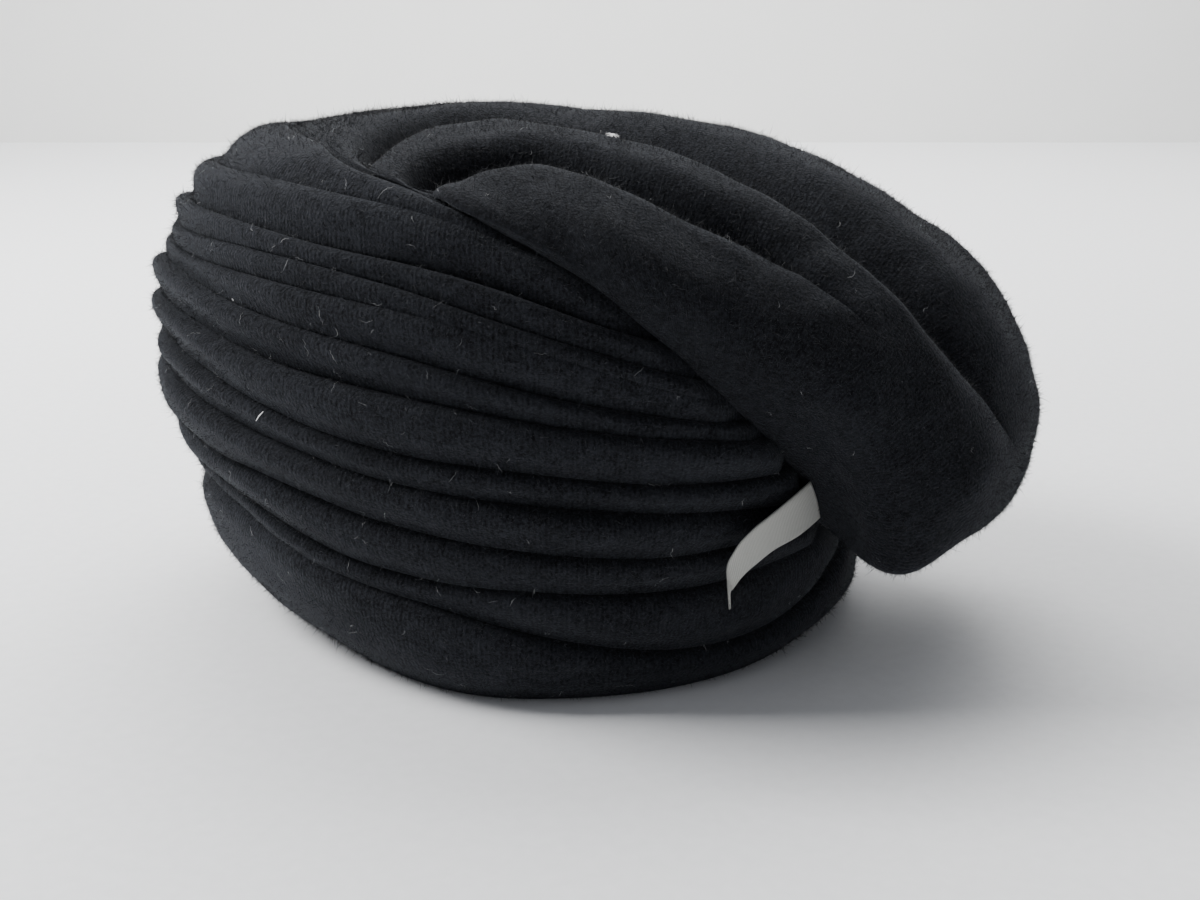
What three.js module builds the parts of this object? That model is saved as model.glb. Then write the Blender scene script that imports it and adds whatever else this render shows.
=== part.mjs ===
// Turban headwrap: a hollow head band wound in lapped folds, a crown cloth in soft rolls
// that laps over the band's rear edge and hangs behind as a pouch, and a bare tape label.
// Millimetres, +Z up. The wearer's forehead is towards -X, the hanging pouch towards +X.
import * as THREE from "three";

// Head form that the cloth is wound over
const HALF_FRONT = 114;
const HALF_BACK = 107;
const HALF_WIDTH = 97;
const CROWN_HEIGHT = 145;
const HEAD_LENGTH = HALF_FRONT + HALF_BACK;

// Cloth
const BAND_WALL = 4.6;
const DRAPE_WALL = 3;
const TAPE_WALL = 0.8;
const CLEARANCE = 0.45;
const OVERLAP = 8;

// Mesh fineness
const BAND_COLUMNS = 60;
const DRAPE_SECTIONS = 34;
const DRAPE_STRIPS = [7, 8, 8, 6, 7];
const STRIP_CROWDING = 0.65;
const TAPE_SECTIONS = 14;

// Reads rows of numbers as named columns.
function table(names, rows) {
  return Object.fromEntries(names.map((name, c) => [name, rows.map((row) => row[c])]));
}

// Upright outline of the wrapped head: height as a share of CROWN_HEIGHT against
// reach as a share of the half length or half width.
const PROFILE = table(["height", "reach"], [
  [0.0, 0.875],
  [0.035, 0.915],
  [0.11, 0.948],
  [0.25, 0.975],
  [0.42, 0.995],
  [0.58, 1.0],
  [0.7, 0.982],
  [0.8, 0.936],
  [0.88, 0.856],
  [0.94, 0.735],
  [0.98, 0.5],
  [1.0, 0.25],
]);

// The lowest folds curl under at the forehead and at the nape.
const FRONT_TUCK = 0.19;
const BACK_TUCK = 0.055;
const FRONT_TUCK_WRAP = 0.25;
const BACK_TUCK_POWER = 4;
const TUCK_TOP = 0.45;
const TUCK_POWER = 1.6;

// Where the crown cloth meets the band: degrees from the forehead, share of CROWN_HEIGHT.
const SEAM = table(["angle", "height"], [
  [0, 0.945],
  [20, 0.95],
  [45, 0.95],
  [67, 0.937],
  [80, 0.91],
  [94, 0.875],
  [104, 0.832],
  [116, 0.755],
  [125, 0.665],
  [136, 0.54],
  [146, 0.43],
  [156, 0.29],
  [168, 0.225],
  [180, 0.21],
]);

// Each row is one folded edge of the band, lowest first. Heights are shares of
// CROWN_HEIGHT and depths are shares of BAND_WALL, at these degrees from the forehead.
const FOLD_ANGLES = [0, 45, 90, 135, 180];
const FOLDS = table(["heights", "depths"], [
  [[0.27, 0.265, 0.2, 0.085, 0.17], [0.15, 0.25, 0.4, 0.4, 0.3]],
  [[0.3, 0.305, 0.24, 0.21, 0.23], [0.35, 0.35, 0.4, 0.35, 0.2]],
  [[0.38, 0.385, 0.325, 0.275, 0.27], [0.4, 0.4, 0.4, 0.35, 0.2]],
  [[0.49, 0.5, 0.41, 0.35, 0.33], [0.52, 0.52, 0.52, 0.35, 0.2]],
  [[0.55, 0.555, 0.465, 0.41, 0.38], [0.52, 0.43, 0.43, 0.4, 0.2]],
  [[0.62, 0.63, 0.56, 0.485, 0.42], [0.6, 0.6, 0.52, 0.43, 0.2]],
  [[0.69, 0.7, 0.625, 0.515, 0.45], [0.65, 0.65, 0.52, 0.4, 0.2]],
  [[0.735, 0.745, 0.7, 0.55, 0.5], [0.35, 0.43, 0.2, 0.0, 0.0]],
  [[0.765, 0.785, 0.745, 0.575, 0.53], [0.35, 0.4, 0.4, 0.3, 0.2]],
  [[0.81, 0.825, 0.78, 0.64, 0.58], [0.56, 0.56, 0.48, 0.4, 0.3]],
  [[0.885, 0.895, 0.86, 0.7, 0.63], [0.35, 0.35, 0.1, 0.0, 0.0]],
]);
const FOLD_SLOPE = { size: 4.5, power: 1.3 };
const FOLD_NOTCH = { size: 1.6, power: 1.6 };
const FOLD_LAP = { size: 5, power: 1.5 };
const LAP_SHARE = 0.55;

// Mesh rows of the band, as shares: up to its lowest fold, and down its inner face. Each
// fold has a row at its edge and one below and above it, the top edge has one below it,
// and rows that squeeze in below the top edge keep a gap, all in mm.
const RIM_ROWS = [0, 0.08, 0.3, 0.55, 0.8];
const RIM_SHARE = 0.1;
const BAND_INNER_ROWS = [1, 0.975, 0.94, 0.89, 0.82, 0.7, 0.45, 0.18, 0];
const ROW_BELOW = 2.2;
const ROW_ABOVE = 1.6;
const ROW_TOP = 1;
const ROW_SQUEEZE = 0.3;

// Crown cloth, a row for each section from the forehead over the top and down the back:
// place along the cloth, degrees from the forehead where its edge meets the seam, crest
// as a share of HEAD_LENGTH behind the middle and of CROWN_HEIGHT up, then how far the
// flanks bulge as a share of HALF_WIDTH and sag as a share of CROWN_HEIGHT.
const SECTIONS = table(["along", "edge", "crestX", "crestZ", "bulge", "sag"], [
  [0.0, 94, -0.37, 0.9, 0.0, 0.0],
  [0.08, 99, -0.325, 0.93, 0.01, 0.0],
  [0.18, 106, -0.235, 0.962, 0.02, 0.0],
  [0.3, 114, -0.068, 0.976, 0.03, 0.0],
  [0.42, 123, 0.115, 0.968, 0.05, 0.0],
  [0.54, 131, 0.292, 0.91, 0.07, 0.0],
  [0.66, 138, 0.452, 0.812, 0.1, 0.0],
  [0.76, 144, 0.562, 0.69, 0.13, 0.014],
  [0.85, 149, 0.624, 0.525, 0.16, 0.034],
  [0.91, 152, 0.64, 0.4, 0.17, 0.056],
  [0.96, 155, 0.606, 0.272, 0.12, 0.054],
  [1.0, 158, 0.48, 0.214, 0.0, 0.0],
]);
const CREST_POWER = 0.85;

// The band laps over the crown cloth in front of the crossing, and under it behind: where
// the crossing is and how long it takes, in degrees, then the dip in the band's top edge
// there (mm, place and spread in crossing spans), and where the part of the band that
// runs on under the crown cloth starts and is full height, in crossing spans too.
const CROSSING_ANGLE = 94;
const CROSSING_SPAN = 6;
const CROSSING_GIVE = 5;
const GIVE_PLACE = 0.3;
const GIVE_SPREAD = 0.8;
const UNDER_START = 0.3;
const UNDER_SPAN = 3;
const UNDER_LEAN = 0.8;

// The crown cloth comes out from inside the band at the front: places along the cloth
// where it leaves the band's shape, the height it reaches there (mm), how its rows fan
// out, how sharply its edges part from the band, and its gaps to the band in clearances.
const FRONT_START = 0.07;
const FRONT_SHARE = 0.2;
const FRONT_RISE = 2;
const FRONT_FAN = 0.35;
const RISE_SHARE = 0.11;
const EDGE_POWER = 12;
const FRONT_GAPS = 4;
const EDGE_GAPS = 7;
const EDGE_START = 0.4;
const EDGE_SPAN = 0.5;
const LAP_COVER = 0.65;

// It comes back to the band at the nape, its thickness is set off square to the head near
// its edges and its front, and its flanks sag most at one place across.
const BACK_SHARE = 0.05;
const HUG_LEVEL = 0.95;
const HUG_EDGE = 0.2;
const HUG_START = 0.1;
const HUG_SPAN = 0.15;
const SAG_PLACE = 0.66;
const SAG_SPREAD = 0.18;

// Valleys between the rolls, near side first, a row for each place along the cloth: how
// far across it is (-1 near edge, 0 crest line, 1 far edge), depth as a share of
// HALF_WIDTH, and how far across its nearer and farther slopes reach.
const VALLEY_COLUMNS = ["along", "across", "depth", "nearer", "farther"];
const VALLEYS = [
  table(VALLEY_COLUMNS, [
    [0.06, -0.97, 0.0, 0.08, 0.1],
    [0.15, -0.9, 0.03, 0.08, 0.12],
    [0.223, -0.72, 0.08, 0.12, 0.16],
    [0.295, -0.54, 0.12, 0.14, 0.16],
    [0.343, -0.44, 0.13, 0.14, 0.15],
    [0.38, -0.39, 0.13, 0.14, 0.14],
    [0.46, -0.41, 0.12, 0.13, 0.14],
    [0.535, -0.44, 0.09, 0.13, 0.14],
    [0.6, -0.45, 0.06, 0.14, 0.15],
    [0.66, -0.5, 0.02, 0.15, 0.15],
    [0.72, -0.53, 0.0, 0.15, 0.15],
    [1.0, -0.6, 0.0, 0.15, 0.15],
  ]),
  table(VALLEY_COLUMNS, [
    [0.1, -0.86, 0.0, 0.06, 0.2],
    [0.2, -0.6, 0.02, 0.12, 0.3],
    [0.235, -0.4, 0.08, 0.2, 0.35],
    [0.262, -0.2, 0.13, 0.25, 0.35],
    [0.29, -0.07, 0.17, 0.25, 0.32],
    [0.33, -0.01, 0.2, 0.2, 0.3],
    [0.4, -0.04, 0.23, 0.16, 0.3],
    [0.48, -0.02, 0.26, 0.13, 0.26],
    [0.56, -0.04, 0.28, 0.12, 0.27],
    [0.64, -0.07, 0.27, 0.12, 0.28],
    [0.71, -0.11, 0.2, 0.13, 0.28],
    [0.77, -0.13, 0.12, 0.15, 0.28],
    [0.83, -0.13, 0.05, 0.18, 0.28],
    [0.9, -0.14, 0.0, 0.2, 0.3],
    [1.0, -0.14, 0.0, 0.2, 0.3],
  ]),
  table(VALLEY_COLUMNS, [
    [0.08, 0.1, 0.0, 0.1, 0.1],
    [0.16, 0.22, 0.03, 0.14, 0.14],
    [0.28, 0.34, 0.08, 0.16, 0.16],
    [0.42, 0.38, 0.12, 0.15, 0.16],
    [0.56, 0.36, 0.13, 0.15, 0.16],
    [0.68, 0.36, 0.1, 0.16, 0.16],
    [0.8, 0.38, 0.05, 0.18, 0.18],
    [0.92, 0.4, 0.0, 0.18, 0.18],
    [1.0, 0.4, 0.0, 0.18, 0.18],
  ]),
  table(VALLEY_COLUMNS, [
    [0.04, 0.92, 0.0, 0.1, 0.08],
    [0.1, 0.86, 0.02, 0.14, 0.1],
    [0.15, 0.8, 0.035, 0.14, 0.1],
    [0.25, 0.69, 0.08, 0.16, 0.11],
    [0.35, 0.63, 0.11, 0.16, 0.13],
    [0.48, 0.62, 0.11, 0.15, 0.14],
    [0.6, 0.64, 0.08, 0.15, 0.14],
    [0.72, 0.66, 0.03, 0.15, 0.14],
    [0.82, 0.67, 0.0, 0.15, 0.14],
    [1.0, 0.67, 0.0, 0.15, 0.14],
  ]),
];

// The cloth's edges roll under: a lip stands proud, and the edge itself drops.
const LIP_PROUD = 5;
const LIP_PLACE = 0.86;
const LIP_SPREAD = 0.1;
const LIP_START = 0.06;
const LIP_FULL = 0.14;
const EDGE_DROP = 2;
const EDGE_SHARE = 0.07;

// Tape label on the near rear side, a row for each place along it: degrees from the
// forehead and share of CROWN_HEIGHT of its upper and lower edges, then how far it
// bows out as a share of BAND_WALL. Its ends keep clear of the band by a few clearances.
const TAPE = table(["along", "upperAngle", "upper", "lowerAngle", "lower", "bow"], [
  [0.0, 146, 0.385, 148.5, 0.32, 0.0],
  [0.2, 143, 0.365, 145, 0.3, 0.85],
  [0.45, 139, 0.35, 141.5, 0.285, 1.2],
  [0.65, 136.5, 0.325, 138.8, 0.262, 1.15],
  [0.8, 135, 0.285, 137.4, 0.235, 0.8],
  [0.92, 135, 0.24, 136.9, 0.212, 0.35],
  [1.0, 135.8, 0.195, 136.4, 0.188, 0.0],
]);
const TAPE_GAPS = 2;

const WOOL = { color: 0x1b1c20, roughness: 0.95, metalness: 0 };
const COTTON = { color: 0xd9d7d0, roughness: 0.85, metalness: 0 };

const clamp = THREE.MathUtils.clamp;
const lerp = THREE.MathUtils.lerp;
const radians = THREE.MathUtils.degToRad;
const degrees = THREE.MathUtils.radToDeg;

function ease(value) {
  const x = clamp(value, 0, 1);
  return x * x * (3 - 2 * x);
}

// Smooth curve through the rows of a table.
function curve(xs, ys, at) {
  const x = clamp(at, xs[0], xs.at(-1));
  const slope = (i) => (ys[i + 1] - ys[i]) / (xs[i + 1] - xs[i]);
  const tangent = (i) => {
    if (i === 0) return slope(0);
    if (i === xs.length - 1) return slope(i - 1);
    const before = xs[i] - xs[i - 1];
    const after = xs[i + 1] - xs[i];
    return (slope(i - 1) * after + slope(i) * before) / (before + after);
  };
  let k = 0;
  while (k < xs.length - 2 && x >= xs[k + 1]) k += 1;
  const width = xs[k + 1] - xs[k];
  const t = (x - xs[k]) / width;
  const blend = 3 * t ** 2 - 2 * t ** 3;
  const leave = width * tangent(k) * (t ** 3 - 2 * t ** 2 + t);
  const arrive = width * tangent(k + 1) * (t ** 3 - t ** 2);
  return lerp(ys[k], ys[k + 1], blend) + leave + arrive;
}

// Straight lines through the rows of a table.
function polyline(xs, ys, at) {
  const x = clamp(at, xs[0], xs.at(-1));
  let k = 0;
  while (k < xs.length - 2 && x >= xs[k + 1]) k += 1;
  return lerp(ys[k], ys[k + 1], (x - xs[k]) / (xs[k + 1] - xs[k]));
}

// Outline reach at a height share; forward is 1 at the forehead and -1 at the nape.
function reach(height, forward) {
  const front = FRONT_TUCK * ease(forward + FRONT_TUCK_WRAP);
  const back = BACK_TUCK * Math.max(-forward, 0) ** BACK_TUCK_POWER;
  const curl = Math.max(1 - height / TUCK_TOP, 0) ** TUCK_POWER;
  return curve(PROFILE.height, PROFILE.reach, height) - (front + back) * curl;
}

// Point on the wrapped head, moved out along its normal. Angles run from the forehead
// in degrees, negative on the near side; z is the height in mm.
function headPoint(angle, z, offset) {
  const forward = Math.cos(radians(angle));
  const side = Math.sin(radians(angle));
  const half = forward > 0 ? HALF_FRONT : HALF_BACK;
  const height = z / CROWN_HEIGHT;
  const r = reach(height, forward);
  const point = new THREE.Vector3(-half * r * forward, HALF_WIDTH * r * side, z);
  const step = 0.005;
  const low = clamp(height - step, 0, 1);
  const high = clamp(height + step, 0, 1);
  const lean = (reach(high, forward) - reach(low, forward)) / (high - low);
  const normal = new THREE.Vector3(-forward / half, side / HALF_WIDTH, 0).normalize();
  normal.z = (-lean * Math.hypot(half * forward, HALF_WIDTH * side)) / CROWN_HEIGHT;
  return point.addScaledVector(normal.normalize(), offset);
}

function seamHeight(angle) {
  return CROWN_HEIGHT * curve(SEAM.angle, SEAM.height, Math.abs(angle));
}

// How far past the crossing an angle lies: 0 where the band laps over the crown cloth,
// 1 where the crown cloth laps over the band.
function pastCrossing(angle) {
  return ease((Math.abs(angle) - CROSSING_ANGLE) / CROSSING_SPAN);
}

function foldHeight(fold, angle) {
  return CROWN_HEIGHT * curve(FOLD_ANGLES, FOLDS.heights[fold], Math.abs(angle));
}

// Outward relief of the band: a lap stands proud just under each folded edge and the
// cloth above it falls away into a notch.
function foldRelief(angle, z) {
  let relief = 0;
  for (let fold = 0; fold < FOLDS.heights.length; fold += 1) {
    const depth = BAND_WALL * polyline(FOLD_ANGLES, FOLDS.depths[fold], Math.abs(angle));
    const rise = z - foldHeight(fold, angle);
    const fade = ({ size, power }) => Math.exp(-((Math.abs(rise) / size) ** power));
    const notch = fade(FOLD_NOTCH);
    const above = fade(FOLD_SLOPE);
    const lap = LAP_SHARE * fade(FOLD_LAP) * (1 - notch);
    relief -= depth * (rise > 0 ? above : notch - lap);
  }
  return relief;
}

// The band's top edge gives way where the crown cloth crosses it and behind there runs
// on under the crown cloth.
function bandTop(angle) {
  const past = (Math.abs(angle) - CROSSING_ANGLE) / CROSSING_SPAN;
  const give = CROSSING_GIVE * Math.exp(-(((past - GIVE_PLACE) / GIVE_SPREAD) ** 2));
  return seamHeight(angle) - give + OVERLAP * ease((past - UNDER_START) / UNDER_SPAN);
}

// The part of the band that runs under the crown cloth leans inwards.
function bandTuck(angle, z) {
  const under = ease((z - seamHeight(angle)) / OVERLAP + UNDER_LEAN);
  return BAND_WALL * under * pastCrossing(angle);
}

// Point on the band's wall. Near the rim it keeps its height, so the rim lies flat.
function bandPoint(angle, z, offset) {
  const point = headPoint(angle, z, offset - bandTuck(angle, z));
  point.z = lerp(z, point.z, ease(z / (RIM_SHARE * CROWN_HEIGHT)));
  return point;
}

// Heights of the band's outer rows. Rows above the top edge squeeze in just below it.
function bandRows(angle) {
  const rows = RIM_ROWS.map((share) => share * foldHeight(0, angle));
  for (let fold = 0; fold < FOLDS.heights.length; fold += 1) {
    const notch = foldHeight(fold, angle);
    rows.push(notch - ROW_BELOW, notch, notch + ROW_ABOVE);
  }
  const top = bandTop(angle);
  rows.push(top - ROW_TOP, top);
  let previous = -ROW_SQUEEZE;
  return rows.map((z, row) => {
    const free = Math.max(z, previous + ROW_SQUEEZE);
    previous = Math.min(free, top - ROW_SQUEEZE * (rows.length - 1 - row));
    return previous;
  });
}

// Closed mesh through loops of points: joined first to last in a ring, or capped.
function solidFromLoops(loops, ring) {
  const size = loops[0].length;
  const positions = loops.flat().flatMap((point) => point.toArray());
  const index = [];
  const quad = (a, b, c, d) => {
    const corner = (i) => new THREE.Vector3().fromArray(positions, i * 3);
    const first = corner(a).distanceTo(corner(c));
    const second = corner(b).distanceTo(corner(d));
    if (first < second) index.push(a, b, c, a, c, d);
    else index.push(a, b, d, b, c, d);
  };
  const spans = ring ? loops.length : loops.length - 1;
  for (let i = 0; i < spans; i += 1) {
    const here = i * size;
    const next = ((i + 1) % loops.length) * size;
    for (let j = 0; j < size; j += 1) {
      const k = (j + 1) % size;
      quad(here + j, here + k, next + k, next + j);
    }
  }
  if (!ring) {
    const last = (loops.length - 1) * size;
    for (let j = 0; j < size / 2 - 1; j += 1) {
      const k = size - 1 - j;
      quad(k, k - 1, j + 1, j);
      quad(last + j, last + j + 1, last + k - 1, last + k);
    }
  }
  const geometry = new THREE.BufferGeometry();
  geometry.setAttribute("position", new THREE.Float32BufferAttribute(positions, 3));
  geometry.setIndex(index);
  if (signedVolume(geometry) < 0) index.reverse();
  geometry.setIndex(index);
  geometry.computeVertexNormals();
  return geometry;
}

function signedVolume(geometry) {
  const position = geometry.attributes.position;
  const index = geometry.index;
  const [a, b, c] = [new THREE.Vector3(), new THREE.Vector3(), new THREE.Vector3()];
  let volume = 0;
  for (let i = 0; i < index.count; i += 3) {
    a.fromBufferAttribute(position, index.getX(i));
    b.fromBufferAttribute(position, index.getX(i + 1));
    c.fromBufferAttribute(position, index.getX(i + 2));
    volume += a.dot(b.cross(c)) / 6;
  }
  return volume;
}

// Head band: an upright loop of points at each angle, outer face up and inner face down.
function bandGeometry() {
  const loops = [];
  for (let column = 0; column < BAND_COLUMNS; column += 1) {
    const angle = (360 * column) / BAND_COLUMNS - 180;
    const outer = bandRows(angle).map((z) => bandPoint(angle, z, foldRelief(angle, z)));
    const top = bandTop(angle);
    const inner = BAND_INNER_ROWS.map((share) => bandPoint(angle, share * top, -BAND_WALL));
    loops.push([...outer, ...inner]);
  }
  return solidFromLoops(loops, true);
}

// Smooth outer surface of the crown cloth before its rolls are pressed in.
function drapeBase(along, across) {
  const column = (name) => curve(SECTIONS.along, SECTIONS[name], along);
  const edgeAngle = column("edge");
  const past = (edgeAngle - CROSSING_ANGLE) / CROSSING_SPAN;
  const outside = ease((past - EDGE_START) / EDGE_SPAN);
  const proud = BAND_WALL * LAP_SHARE * LAP_COVER + CLEARANCE + DRAPE_WALL;
  const edgeOffset = lerp(-BAND_WALL - EDGE_GAPS * CLEARANCE, proud, outside);
  const edge = headPoint(edgeAngle, seamHeight(edgeAngle), edgeOffset);
  const turn = (across * Math.PI) / 2;
  const lift = Math.max(Math.cos(turn), 0);
  const flank = Math.sin(2 * turn);
  const lobe = Math.exp(-(((Math.abs(across) - SAG_PLACE) / SAG_SPREAD) ** 2));
  const arch = new THREE.Vector3(
    lerp(edge.x, column("crestX") * HEAD_LENGTH, lift),
    edge.y * Math.sin(turn) + column("bulge") * HALF_WIDTH * flank,
    lerp(edge.z, column("crestZ") * CROWN_HEIGHT, lift ** CREST_POWER)
      - column("sag") * CROWN_HEIGHT * lobe,
  );
  const frontAngle = edgeAngle * across * (1 + FRONT_FAN * (1 - across ** 2));
  const inside = 1 - Math.abs(across) ** EDGE_POWER;
  const rise = lerp(-OVERLAP, FRONT_RISE, Math.min(along / RISE_SHARE, 1)) * inside;
  const depth = lerp(edgeOffset, -BAND_WALL - FRONT_GAPS * CLEARANCE, inside);
  const front = headPoint(frontAngle, seamHeight(frontAngle) + rise, depth);
  const backEdge = SECTIONS.edge.at(-1);
  const backAngle = (across < 0 ? -1 : 1) * lerp(180, backEdge, Math.abs(across));
  const back = headPoint(backAngle, seamHeight(backAngle), proud);
  arch.lerp(front, 1 - ease((along - FRONT_START) / FRONT_SHARE));
  return arch.lerp(back, ease(1 - (1 - along) / BACK_SHARE));
}

// Outward relief of the crown cloth: valleys with rounded rolls on both sides, a lip
// near the edges, and the dropped edges.
function rollRelief(along, across) {
  let relief = 0;
  for (const valley of VALLEYS) {
    const offset = across - curve(valley.along, valley.across, along);
    const slope = offset < 0 ? valley.nearer : valley.farther;
    const place = Math.min(Math.abs(offset) / curve(valley.along, slope, along), 1);
    const depth = HALF_WIDTH * Math.max(curve(valley.along, valley.depth, along), 0);
    relief -= depth * (1 - Math.sqrt(1 - (1 - place) ** 2));
  }
  const growth = ease((along - LIP_START) / LIP_FULL) * ease((1 - along) / BACK_SHARE);
  const lip = Math.exp(-(((Math.abs(across) - LIP_PLACE) / LIP_SPREAD) ** 2));
  const edge = Math.max(1 - (1 - Math.abs(across)) / EDGE_SHARE, 0);
  return relief + growth * (LIP_PROUD * lip - EDGE_DROP * (1 - Math.sqrt(1 - edge ** 2)));
}

// Direction in which the crown cloth is pushed out: square to its smooth surface, or
// square to the head near its edges and its front.
function drapeNormal(along, across) {
  const step = 0.01;
  const base = drapeBase(along, across);
  const half = base.x < 0 ? HALF_FRONT : HALF_BACK;
  const angle = degrees(Math.atan2(base.y / HALF_WIDTH, -base.x / half));
  const level = Math.min(base.z, HUG_LEVEL * CROWN_HEIGHT);
  const onHead = headPoint(angle, level, 1).sub(headPoint(angle, level, 0));
  const low = Math.max(along - step, 0);
  const high = Math.min(along + step, 1);
  const left = Math.max(across - step, -1);
  const right = Math.min(across + step, 1);
  const lengthwise = drapeBase(high, across).sub(drapeBase(low, across));
  const crosswise = drapeBase(along, right).sub(drapeBase(along, left));
  const byEdge = ease(1 - (1 - Math.abs(across)) / HUG_EDGE);
  const byFront = 1 - ease((along - HUG_START) / HUG_SPAN);
  const hug = Math.max(byEdge, byFront);
  return lengthwise.cross(crosswise).normalize().lerp(onHead, hug).normalize();
}

// Places across the crown cloth: strips run along the valleys and crowd towards them.
function stripPlaces(along) {
  const knots = [-1, ...VALLEYS.map((valley) => curve(valley.along, valley.across, along)), 1];
  const places = DRAPE_STRIPS.flatMap((strips, k) => {
    return Array.from({ length: strips }, (_, strip) => {
      const even = strip / strips;
      const crowded = even - (STRIP_CROWDING * Math.sin(2 * Math.PI * even)) / (2 * Math.PI);
      return lerp(knots[k], knots[k + 1], crowded);
    });
  });
  return [...places, 1];
}

// Crown cloth: a flat loop of points at each section, outer face across and inner back.
function drapeGeometry() {
  const loops = [];
  for (let section = 0; section <= DRAPE_SECTIONS; section += 1) {
    const along = section / DRAPE_SECTIONS;
    const outer = [];
    const inner = [];
    for (const across of stripPlaces(along)) {
      const base = drapeBase(along, across);
      const normal = drapeNormal(along, across);
      const relief = rollRelief(along, across);
      outer.push(base.clone().addScaledVector(normal, relief));
      inner.unshift(base.clone().addScaledVector(normal, relief - DRAPE_WALL));
    }
    loops.push([...outer, ...inner]);
  }
  return solidFromLoops(loops, false);
}

// Tape label: a thin bowed strip that keeps clear of the band's laps.
function tapeGeometry() {
  const loops = [];
  const seat = TAPE_GAPS * CLEARANCE;
  for (let section = 0; section <= TAPE_SECTIONS; section += 1) {
    const along = section / TAPE_SECTIONS;
    const column = (name) => curve(TAPE.along, TAPE[name], along);
    const offset = seat + BAND_WALL * column("bow");
    const edge = (name, out) => {
      return headPoint(-column(`${name}Angle`), CROWN_HEIGHT * column(name), offset + out);
    };
    const outer = [edge("upper", TAPE_WALL), edge("lower", TAPE_WALL)];
    loops.push([...outer, edge("lower", 0), edge("upper", 0)]);
  }
  return solidFromLoops(loops, false);
}

function piece(name, geometry, look) {
  const mesh = new THREE.Mesh(geometry, new THREE.MeshStandardMaterial(look));
  mesh.name = name;
  return mesh;
}

const turban = new THREE.Group();
turban.add(
  piece("pleated_band", bandGeometry(), WOOL),
  piece("crown_drape", drapeGeometry(), WOOL),
  piece("label_tape", tapeGeometry(), COTTON),
);

// The origin is the middle of the footprint, on the surface that the rim rests on.
const extent = new THREE.Box3().setFromObject(turban);
const middle = extent.getCenter(new THREE.Vector3());
for (const mesh of turban.children) mesh.position.set(-middle.x, -middle.y, -extent.min.z);
turban.updateMatrixWorld(true);

export default turban;
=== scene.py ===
"""Looks for the turban headwrap: band in lapped folds, crown cloth in soft rolls, bare tape."""
import math

import bpy
import numpy as np
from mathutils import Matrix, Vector


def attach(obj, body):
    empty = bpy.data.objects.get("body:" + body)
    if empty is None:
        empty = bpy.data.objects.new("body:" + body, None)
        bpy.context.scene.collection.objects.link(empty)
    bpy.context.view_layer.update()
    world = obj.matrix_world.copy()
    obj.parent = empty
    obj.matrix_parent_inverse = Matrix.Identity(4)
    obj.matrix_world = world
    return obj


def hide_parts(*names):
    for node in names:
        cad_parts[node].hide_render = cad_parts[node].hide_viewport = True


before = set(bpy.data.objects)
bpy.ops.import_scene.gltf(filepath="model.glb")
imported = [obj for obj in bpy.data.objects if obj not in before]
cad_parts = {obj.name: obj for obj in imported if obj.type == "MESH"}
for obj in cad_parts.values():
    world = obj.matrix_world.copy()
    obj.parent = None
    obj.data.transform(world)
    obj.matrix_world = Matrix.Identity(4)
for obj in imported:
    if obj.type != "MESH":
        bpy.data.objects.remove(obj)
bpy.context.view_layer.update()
scene = bpy.context.scene
MM = 0.001

# Sizes in mm, angles in degrees from the forehead, and tables of shares.
# The overall sizes, walls, head profile, seam and table of folds are those of the part's source.
# The tuck, dip and waists, the crossing, the front rise, the sag, the valleys, lips and edges and
# the tape are fitted closer to the photograph here.
HALF_FRONT = 114
HALF_BACK = 107
HALF_WIDTH = 97
CROWN_HEIGHT = 145
HEAD_LENGTH = HALF_FRONT + HALF_BACK
BAND_WALL = 4.6
DRAPE_WALL = 3
CLEARANCE = 0.45
OVERLAP = 8
ORIGIN_X = -13.53

PROFILE = np.array([
    (0.0, 0.875),
    (0.035, 0.915),
    (0.11, 0.948),
    (0.25, 0.975),
    (0.42, 0.995),
    (0.58, 1.0),
    (0.7, 0.982),
    (0.8, 0.936),
    (0.88, 0.856),
    (0.94, 0.735),
    (0.98, 0.5),
    (1.0, 0.25),
]).T
FRONT_TUCK = 0.19
BACK_TUCK = 0.065
TUCK_TOP = 0.45
TUCK_POWER = 1.6
FRONT_DIP = 0.05
FRONT_WAIST = 0.024
BACK_WAIST = 0.072

SEAM = np.array([
    (0, 0.945),
    (20, 0.95),
    (45, 0.95),
    (67, 0.937),
    (80, 0.91),
    (94, 0.875),
    (104, 0.832),
    (116, 0.755),
    (125, 0.665),
    (136, 0.54),
    (146, 0.43),
    (156, 0.29),
    (168, 0.225),
    (180, 0.21),
]).T

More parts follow.
